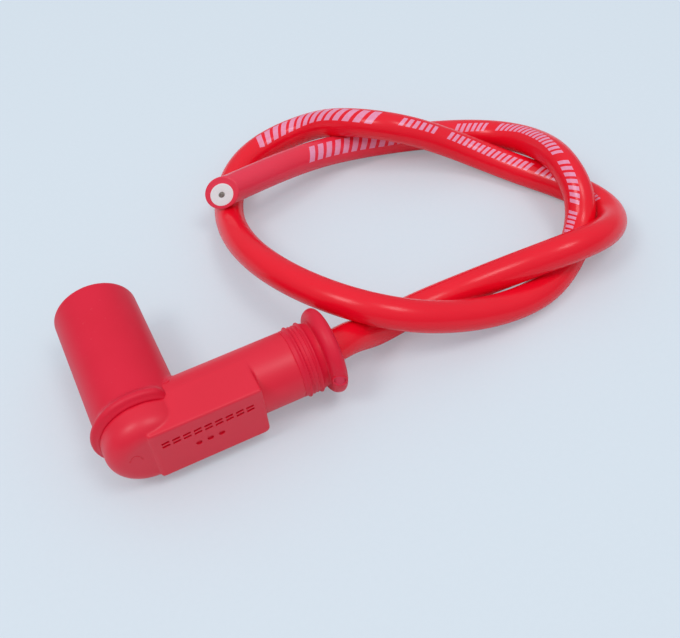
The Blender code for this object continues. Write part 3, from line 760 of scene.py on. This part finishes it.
def sunk_mark(x, z, size, turn, corner):
    """A tool for one mark: a rounded stroke of this size at this place on the block's face."""
    bpy.ops.object.select_all(action="DESELECT")
    bpy.ops.mesh.primitive_cube_add(
        size=1.0,
        location=(crossing.x + x, crossing.y - BLOCK_FACE, crossing.z + z),
        rotation=(0, turn, 0),
        scale=(size[0], 2 * MARK_DEPTH, size[1]),
    )
    tool = bpy.context.object
    bpy.ops.object.transform_apply(location=True, rotation=True, scale=True)
    bpy.ops.object.mode_set(mode="EDIT")
    bpy.ops.mesh.select_all(action="DESELECT")
    cage = bmesh.from_edit_mesh(tool.data)
    for edge in cage.edges:
        first, second = (vert.co for vert in edge.verts)
        edge.select = abs(first.y - second.y) > MARK_DEPTH
    bmesh.update_edit_mesh(tool.data)
    bpy.ops.mesh.bevel(offset=corner, segments=4, affect="EDGES")
    bpy.ops.object.mode_set(mode="OBJECT")
    marks.append(tool)


for index in range(9):
    for rise in DASH_ROWS:
        sunk_mark(DASH_START + DASH_PITCH * index, rise, DASH_SIZE, DASH_TURN, DASH_CORNER)
for index in range(3):
    sunk_mark(DOT_START + DOT_PITCH * index, DOT_ROW, DOT_SIZE, 0.0, DOT_CORNER)
# The gate leaves a thin curved witness line on the closed end.
GATE_LINE_RADIUS = 0.15 * MM
GATE_LINE_RISE = 0.03 * MM
GATE_LINE_MM = ((-4.9, 1.6), (-4.5, 2.4), (-3.8, 2.8), (-3.1, 2.6), (-2.6, 1.9), (-2.4, 0.9))
gate_line = bent_bar(
    "gate_line",
    [crossing + Vector((x * MM, -CLOSED_END - GATE_LINE_RISE, z * MM)) for x, z in GATE_LINE_MM],
    GATE_LINE_RADIUS,
)
combine(elbow, "DIFFERENCE", marks + [gate_line])
bpy.ops.object.shade_smooth_by_angle(angle=math.radians(40))

# Glass-filled nylon: an even red, half gloss from a polished mould, with the slight orange peel
# and cloudy tone that the fibres give it.
nylon, tree, shader = new_material("injection moulded glass-filled nylon")
shader.inputs["IOR"].default_value = 1.52
place_on = add_node(tree, "ShaderNodeTexCoord")
cloud = add_node(
    tree,
    "ShaderNodeTexNoise",
    {"Vector": place_on.outputs["Object"], "Scale": 140.0, "Detail": 3.0},
)
red = add_node(
    tree,
    "ShaderNodeMix",
    {0: cloud.outputs["Fac"], 6: srgb("E0062A"), 7: srgb("E80E32")},
    data_type="RGBA",
)
tree.links.new(red.outputs[2], shader.inputs["Base Color"])
gloss = add_node(
    tree, "ShaderNodeMapRange", {"Value": cloud.outputs["Fac"], "To Min": 0.36, "To Max": 0.46}
)
tree.links.new(gloss.outputs[0], shader.inputs["Roughness"])
peel = add_node(
    tree, "ShaderNodeTexNoise", {"Vector": place_on.outputs["Object"], "Scale": 2200.0, "Detail": 2.0}
)
bump = add_node(
    tree, "ShaderNodeBump", {"Height": peel.outputs["Fac"], "Strength": 0.10, "Distance": 0.00008}
)
tree.links.new(bump.outputs[0], shader.inputs["Normal"])
elbow.data.materials.clear()
elbow.data.materials.append(nylon)
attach(elbow, "root")
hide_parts("elbow_body")

# Plug boot
# A moulded silicone tube, stretched over the tower. Its foot is rolled into a lip that climbs
# over the barrel as a bead, and three rings in its mouth grip the plug's insulator.
BOOT_SEAT_AT = -0.98 * MM
BOOT_ROOT_RADIUS = 9.2 * MM
BOOT_MOUTH_RADIUS = 9.05 * MM
BOOT_LENGTH = 33.5 * MM
BOOT_BORE_RADIUS = 5.7 * MM
BOOT_SOCKET_RADIUS = 7.15 * MM
BOOT_OUTER_ROUND = 0.9 * MM
BOOT_INNER_ROUND = 0.7 * MM
GRIP_COUNT = 3
GRIP_FROM_MOUTH = 2.6 * MM
GRIP_PITCH = 3.2 * MM
GRIP_HEIGHT = 0.55 * MM
GRIP_HALF_WIDTH = 0.85 * MM
LIP_RADIUS = 10.6 * MM
LIP_ROUND = 0.92 * MM
LIP_AT = 0.48 * MM
LIP_BLEND = 1.7 * MM
LIP_FOOT = 0.4 * MM
BEAD_RADIUS = 1.2 * MM
BEAD_PROUD = 0.22 * MM
BEAD_OUT = 0.1 * MM
BEAD_REACH_DEGREES = 82

lip_centre = LIP_RADIUS - LIP_ROUND
outline = [(BOOT_SOCKET_RADIUS, BOOT_SEAT_AT)]
outline += [(lip_centre - LIP_FOOT, BOOT_SEAT_AT)]
outline += arc(lip_centre, LIP_AT, LIP_ROUND, -90, 45, 14)
start = Vector(outline[-1])
bend = Vector((BOOT_ROOT_RADIUS, start.y + start.x - BOOT_ROOT_RADIUS))
finish = Vector((BOOT_ROOT_RADIUS, start.y + LIP_BLEND))
for share in np.linspace(0.125, 1.0, 8):
    outline.append(tuple(start.lerp(bend, share).lerp(bend.lerp(finish, share), share)))
outer, inner = BOOT_OUTER_ROUND, BOOT_INNER_ROUND
outline += arc(BOOT_MOUTH_RADIUS - outer, BOOT_LENGTH - outer, outer, 0, 90, 8)
outline += arc(BOOT_BORE_RADIUS + inner, BOOT_LENGTH - inner, inner, 90, 180, 6)
for ring in range(GRIP_COUNT):
    crest = BOOT_LENGTH - GRIP_FROM_MOUTH - GRIP_PITCH * ring
    for step in np.linspace(-1.0, 1.0, 9):
        rise = GRIP_HEIGHT * math.cos(step * math.pi / 2) ** 2
        outline.append((BOOT_BORE_RADIUS - rise, crest - step * GRIP_HALF_WIDTH))
outline += [(BOOT_BORE_RADIUS, tower_top), (BOOT_SOCKET_RADIUS, tower_top)]
outline += reversed(barb(BOOT_SOCKET_RADIUS, TOWER_BARB))
boot = spin_outline("rubber_boot", outline, PLUG_AXIS)

# The bead is a round bar bent along the line where the tube meets the barrel, and it reaches
# nearly down to the block on either side.
over_barrel = BARREL_RADIUS + BEAD_PROUD - BEAD_RADIUS
along_tube = BOOT_ROOT_RADIUS + BEAD_OUT
bead_points = []
for angle in np.radians(np.linspace(-BEAD_REACH_DEGREES, BEAD_REACH_DEGREES, 49)):
    side = over_barrel * math.sin(angle)
    forward = math.sqrt(along_tube**2 - side**2)
    bead_points.append(crossing + Vector((forward, over_barrel * math.cos(angle), -side)))
bead = bent_bar("lip_bead", bead_points, BEAD_RADIUS)
combine(boot, "UNION", [bead])

# The rubber is stretched over the barrel and the block, so its edge beds into them.
BED = 0.35 * MM
BLOCK_ROOM_LENGTH = 23.0 * MM
BLOCK_ROOM_DEPTH = 8.0 * MM
inside = BARREL_RADIUS - BED
outline = [(0, 0), (inside, 0), (inside, BARREL_LENGTH), (0, BARREL_LENGTH)]
saddle = spin_outline("saddle", outline, LEAD_AXIS)
bpy.ops.object.select_all(action="DESELECT")
bpy.ops.mesh.primitive_cube_add(
    size=1.0,
    location=(crossing.x + BLOCK_ROOM_LENGTH / 2, crossing.y - BLOCK_ROOM_DEPTH / 2, crossing.z),
    scale=(BLOCK_ROOM_LENGTH, BLOCK_ROOM_DEPTH, 2 * (BLOCK_HALF_HEIGHT - BED)),
)
block_room = bpy.context.object
bpy.ops.object.transform_apply(location=True, rotation=True, scale=True)
combine(boot, "DIFFERENCE", [saddle, block_room])
mould(boot, 8)
# The lip dies away over its last 4 mm, where it runs down onto the barrel: from full at the
# larger of these angles from the barrel, in degrees, to this share of its height at the smaller.
LIP_FULL_AT = 64
LIP_LOW_AT = 42
LIP_LOW_SHARE = 0.08
LIP_TOP = 3.0 * MM
for vertex in boot.data.vertices:
    from_crossing = vertex.co - crossing
    reach = math.hypot(from_crossing.x, from_crossing.z)
    if reach > BOOT_ROOT_RADIUS and from_crossing.y < LIP_TOP:
        turn = math.degrees(math.atan2(abs(from_crossing.z), from_crossing.x))
        share = min(max((turn - LIP_LOW_AT) / (LIP_FULL_AT - LIP_LOW_AT), 0.0), 1.0)
        share = share * share * (3 - 2 * share)
        share = LIP_LOW_SHARE + (1 - LIP_LOW_SHARE) * share
        kept = (BOOT_ROOT_RADIUS + (reach - BOOT_ROOT_RADIUS) * share) / reach
        vertex.co.x = crossing.x + from_crossing.x * kept
        vertex.co.z = crossing.z + from_crossing.z * kept

# Moulded silicone rubber: satin, softer in its highlights than the nylon, with a fine bloom and
# a little pale dust that its tacky skin holds.
rubber, tree, shader = new_material("moulded silicone rubber")
shader.inputs["IOR"].default_value = 1.42
shader.inputs["Sheen Weight"].default_value = 0.03
shader.inputs["Sheen Roughness"].default_value = 0.4
shader.inputs["Sheen Tint"].default_value = srgb("C9A6E0")
place_on = add_node(tree, "ShaderNodeTexCoord")
cloud = add_node(
    tree, "ShaderNodeTexNoise", {"Vector": place_on.outputs["Object"], "Scale": 110.0, "Detail": 4.0}
)
red = add_node(
    tree,
    "ShaderNodeMix",
    {0: cloud.outputs["Fac"], 6: srgb("DB062B"), 7: srgb("E31035")},
    data_type="RGBA",
)
dust = add_node(
    tree, "ShaderNodeTexNoise", {"Vector": place_on.outputs["Object"], "Scale": 1500.0, "Detail": 5.0}
)
dust = add_node(
    tree,
    "ShaderNodeMapRange",
    {"Value": dust.outputs["Fac"], "From Min": 0.68, "From Max": 0.82, "To Max": 0.12},
)
dusty = add_node(
    tree,
    "ShaderNodeMix",
    {0: dust.outputs[0], 6: red.outputs[2], 7: srgb("E9B6BE")},
    data_type="RGBA",
)
tree.links.new(dusty.outputs[2], shader.inputs["Base Color"])
gloss = add_node(
    tree, "ShaderNodeMapRange", {"Value": cloud.outputs["Fac"], "To Min": 0.40, "To Max": 0.52}
)
tree.links.new(gloss.outputs[0], shader.inputs["Roughness"])
grain = add_node(
    tree, "ShaderNodeTexNoise", {"Vector": place_on.outputs["Object"], "Scale": 2600.0, "Detail": 3.0}
)
bump = add_node(
    tree, "ShaderNodeBump", {"Height": grain.outputs["Fac"], "Strength": 0.14, "Distance": 0.0001}
)
tree.links.new(bump.outputs[0], shader.inputs["Normal"])
boot.data.materials.clear()
boot.data.materials.append(rubber)
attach(boot, "root")
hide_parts("plug_boot")

# Cable seal
# The same rubber, pushed over the barrel's spigot: a band with two thin ridges and two fainter
# ones between them, a short neck and a thick round flange that closes round the lead.
SEAL_START = BARREL_LENGTH - 0.2 * MM
SEAL_BAND_RADIUS = 7.23 * MM
SEAL_NECK_RADIUS = 6.9 * MM
SEAL_FLANGE_AT = BARREL_LENGTH + SEAT_GAP + 7.18 * MM
SEAL_FLANGE_RADIUS = 9.28 * MM
SEAL_FLANGE_ROUND = 1.97 * MM
SEAL_FACE = 1.5 * MM
SEAL_SOCKET_RADIUS = 5.95 * MM
SEAL_BAND_ROUND = 0.2 * MM
SEAL_NECK_ROUND = 0.35 * MM
SEAL_MOUTH_ROUND = 0.5 * MM
SEAL_END = SEAL_FLANGE_AT + SEAL_FACE
# Each ridge by where it lies on the band, its height and its half width, in millimetres.
SEAL_RIDGES_MM = ((1.3, 0.45, 0.5), (2.2, 0.16, 0.32), (3.0, 0.16, 0.32), (3.9, 0.45, 0.5))

outline = [(SEAL_SOCKET_RADIUS, SEAL_START)]
outline += arc(
    SEAL_BAND_RADIUS - SEAL_BAND_ROUND, SEAL_START + SEAL_BAND_ROUND, SEAL_BAND_ROUND, -90, 0, 4
)
for ridge, height, half_width in SEAL_RIDGES_MM:
    for step in np.linspace(-1.0, 1.0, 13):
        rise = height * MM * math.cos(step * math.pi / 2) ** 1.5
        outline.append((SEAL_BAND_RADIUS + rise, SEAL_START + (ridge + step * half_width) * MM))
neck_end = SEAL_FLANGE_AT - 0.95 * SEAL_FLANGE_ROUND
outline += arc(
    SEAL_NECK_RADIUS + SEAL_NECK_ROUND, neck_end - SEAL_NECK_ROUND, SEAL_NECK_ROUND, 180, 110, 4
)
outline += arc(
    SEAL_FLANGE_RADIUS - SEAL_FLANGE_ROUND, SEAL_FLANGE_AT, SEAL_FLANGE_ROUND, -80, 0, 14
)
# The flange's outer side is flatter than the side towards the neck.
for turn in np.radians(np.linspace(6, 90, 15)):
    reach = SEAL_FLANGE_RADIUS - SEAL_FLANGE_ROUND * (1 - math.cos(turn))
    outline.append((reach, SEAL_FLANGE_AT + SEAL_FACE * math.sin(turn)))
outline += arc(
    LEAD_BORE_RADIUS + SEAL_MOUTH_ROUND, SEAL_END - SEAL_MOUTH_ROUND, SEAL_MOUTH_ROUND, 90, 180, 6
)
outline += [(LEAD_BORE_RADIUS, spigot_top), (SEAL_SOCKET_RADIUS, spigot_top)]
outline += reversed(barb(SEAL_SOCKET_RADIUS, BARREL_LENGTH + SPIGOT_BARB))
seal = spin_outline("rubber_seal", outline, LEAD_AXIS, 120)
# A low ring is left where the rubber was let into the mould.
GATE_RING_RADIUS = 1.4 * MM
GATE_RING_BAR = 0.22 * MM
gate_side = Vector((-0.40, -0.9, 0.10)).normalized()
gate_spot = crossing + Vector((39.0, -9.05, 0.7)) * MM
bpy.ops.object.select_all(action="DESELECT")
bpy.ops.mesh.primitive_torus_add(
    major_radius=GATE_RING_RADIUS,
    minor_radius=GATE_RING_BAR,
    major_segments=48,
    minor_segments=12,
    location=gate_spot - gate_side * GATE_RING_BAR,
    rotation=gate_side.to_track_quat("Z", "Y").to_euler(),
)
combine(seal, "UNION", [bpy.context.object])
bpy.ops.object.shade_smooth_by_angle(angle=math.radians(50))
seal.data.materials.clear()
seal.data.materials.append(rubber)

# Torn silicone rubber: paler and duller than the moulded skin, where the gate was pulled off.
torn, tree, shader = new_material("torn silicone rubber")
shader.inputs["IOR"].default_value = 1.42
shader.inputs["Roughness"].default_value = 0.7
place_on = add_node(tree, "ShaderNodeTexCoord")
tears = add_node(
    tree, "ShaderNodeTexNoise", {"Vector": place_on.outputs["Object"], "Scale": 1800.0, "Detail": 3.0}
)
red = add_node(
    tree,
    "ShaderNodeMix",
    {0: tears.outputs["Fac"], 6: srgb("DE2242"), 7: srgb("E83655")},
    data_type="RGBA",
)
tree.links.new(red.outputs[2], shader.inputs["Base Color"])
bump = add_node(
    tree, "ShaderNodeBump", {"Height": tears.outputs["Fac"], "Strength": 0.2, "Distance": 0.0001}
)
tree.links.new(bump.outputs[0], shader.inputs["Normal"])
seal.data.materials.append(torn)
for face in seal.data.polygons:
    face.material_index = 0
    if (face.center - gate_spot).length < GATE_RING_RADIUS - GATE_RING_BAR / 2:
        face.material_index = 1
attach(seal, "root")
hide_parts("cable_seal")

# Terminal, contacts and resistor
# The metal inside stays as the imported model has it. The terminal and both resistor caps are
# turned or drawn brass, the clip and the contact spring are hard drawn wire, and the resistor
# is fired ceramic.
brass, tree, shader = new_material("turned free-cutting brass")
shader.inputs["Metallic"].default_value = 1.0
place_on = add_node(tree, "ShaderNodeTexCoord")
turned = add_node(
    tree,
    "ShaderNodeMapping",
    {"Vector": place_on.outputs["Object"], "Scale": (60.0, 5200.0, 60.0)},
)
turned = add_node(tree, "ShaderNodeTexNoise", {"Vector": turned.outputs[0], "Detail": 3.0})
yellow = add_node(
    tree,
    "ShaderNodeMix",
    {0: turned.outputs["Fac"], 6: srgb("B8923F"), 7: srgb("D9BC74")},
    data_type="RGBA",
)
tree.links.new(yellow.outputs[2], shader.inputs["Base Color"])
gloss = add_node(
    tree, "ShaderNodeMapRange", {"Value": turned.outputs["Fac"], "To Min": 0.22, "To Max": 0.38}
)
tree.links.new(gloss.outputs[0], shader.inputs["Roughness"])
bump = add_node(
    tree, "ShaderNodeBump", {"Height": turned.outputs["Fac"], "Strength": 0.2, "Distance": 0.00005}
)
tree.links.new(bump.outputs[0], shader.inputs["Normal"])

wire, tree, shader = new_material("hard drawn spring steel wire")
shader.inputs["Metallic"].default_value = 1.0
place_on = add_node(tree, "ShaderNodeTexCoord")
oxide = add_node(
    tree, "ShaderNodeTexNoise", {"Vector": place_on.outputs["Object"], "Scale": 900.0, "Detail": 3.0}
)
grey = add_node(
    tree,
    "ShaderNodeMix",
    {0: oxide.outputs["Fac"], 6: srgb("8F9093"), 7: srgb("C6C8CA")},
    data_type="RGBA",
)
tree.links.new(grey.outputs[2], shader.inputs["Base Color"])
gloss = add_node(
    tree, "ShaderNodeMapRange", {"Value": oxide.outputs["Fac"], "To Min": 0.2, "To Max": 0.36}
)
tree.links.new(gloss.outputs[0], shader.inputs["Roughness"])

ceramic, tree, shader = new_material("fired alumina ceramic")
place_on = add_node(tree, "ShaderNodeTexCoord")
speck = add_node(
    tree, "ShaderNodeTexNoise", {"Vector": place_on.outputs["Object"], "Scale": 1800.0, "Detail": 4.0}
)
cream = add_node(
    tree,
    "ShaderNodeMix",
    {0: speck.outputs["Fac"], 6: srgb("D8D2C2"), 7: srgb("EEEADF")},
    data_type="RGBA",
)
tree.links.new(cream.outputs[2], shader.inputs["Base Color"])
shader.inputs["Roughness"].default_value = 0.6
bump = add_node(
    tree, "ShaderNodeBump", {"Height": speck.outputs["Fac"], "Strength": 0.2, "Distance": 0.00005}
)
tree.links.new(bump.outputs[0], shader.inputs["Normal"])

for node, finish in (
    ("plug_terminal", brass),
    ("resistor_cap_inner", brass),
    ("resistor_cap_outer", brass),
    ("cable_screw", brass),
    ("terminal_clip", wire),
    ("contact_spring", wire),
    ("resistor_rod", ceramic),
):
    for material_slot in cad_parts[node].material_slots:
        material_slot.material = finish

# Floor and light
# A pale, cool table top with a faint paper grain, under two soft lamps at the left and the
# right, in a white room that is brighter overhead.
bpy.ops.object.select_all(action="DESELECT")
bpy.ops.mesh.primitive_plane_add(size=6.0, location=(0, 0, 0))
floor = bpy.context.object
floor.name = "table_top"
table, tree, shader = new_material("matt painted board")
place_on = add_node(tree, "ShaderNodeTexCoord")
grain = add_node(
    tree, "ShaderNodeTexNoise", {"Vector": place_on.outputs["Object"], "Scale": 900.0, "Detail": 3.0}
)
pale = add_node(
    tree,
    "ShaderNodeMix",
    {0: grain.outputs["Fac"], 6: srgb("D9E3E8"), 7: srgb("DCE6EB")},
    data_type="RGBA",
)
tree.links.new(pale.outputs[2], shader.inputs["Base Color"])
shader.inputs["Roughness"].default_value = 0.9
shader.inputs["Specular IOR Level"].default_value = 0.0
# A share of what the camera sees of the board is its own even colour, as on a table lit from
# below, which keeps the shadows light.
EVEN_SHARE = 0.29
ray = add_node(tree, "ShaderNodeLightPath")
even_share = add_node(
    tree, "ShaderNodeMath", {0: ray.outputs["Is Camera Ray"], 1: EVEN_SHARE}, operation="MULTIPLY"
)
even = add_node(tree, "ShaderNodeEmission", {"Color": srgb("DAE6EE")})
board = add_node(
    tree,
    "ShaderNodeMixShader",
    {0: even_share.outputs[0], 1: shader.outputs[0], 2: even.outputs[0]},
)
tree.links.new(board.outputs[0], tree.nodes["Material Output"].inputs["Surface"])
floor.data.materials.append(table)

world = bpy.data.worlds.new("white room")
world.use_nodes = True
room = world.node_tree.nodes["Background"]
room.inputs["Color"].default_value = srgb("EDF2FD")
direction = add_node(world.node_tree, "ShaderNodeTexCoord")
height = add_node(world.node_tree, "ShaderNodeSeparateXYZ", {0: direction.outputs["Generated"]})
level = add_node(
    world.node_tree,
    "ShaderNodeMapRange",
    {"Value": height.outputs["Z"], "To Min": 0.34, "To Max": 0.96},
)
# The wall behind the table is as pale as the table to the camera.
WALL_LEVEL = 0.84
ray = add_node(world.node_tree, "ShaderNodeLightPath")
wall = add_node(
    world.node_tree,
    "ShaderNodeMath",
    {0: ray.outputs["Is Camera Ray"], 1: WALL_LEVEL},
    operation="MULTIPLY",
)
seen = add_node(
    world.node_tree,
    "ShaderNodeMath",
    {0: level.outputs[0], 1: wall.outputs[0]},
    operation="MAXIMUM",
)
world.node_tree.links.new(seen.outputs[0], room.inputs["Strength"])
bpy.context.scene.world = world

# Each lamp by its place, its size across and its power in watts. Both aim between cap and lead.
LAMP_AIM = Vector((0.02, 0.02, 0.0))
for name, spot, size, power in (
    ("left_lamp", (-0.50, -0.08, 0.88), 0.35, 2.1),
    ("right_lamp", (0.28, -0.30, 0.95), 0.35, 1.7),
):
    bpy.ops.object.light_add(type="AREA", location=spot)
    lamp = bpy.context.object
    lamp.name = name
    lamp.data.shape = "DISK"
    lamp.data.size = size
    lamp.data.energy = power
    lamp.data.color = (1.0, 0.985, 0.99)
    aim = LAMP_AIM - lamp.location
    lamp.rotation_euler = aim.to_track_quat("-Z", "Y").to_euler()

bpy.context.scene.view_settings.view_transform = "Standard"
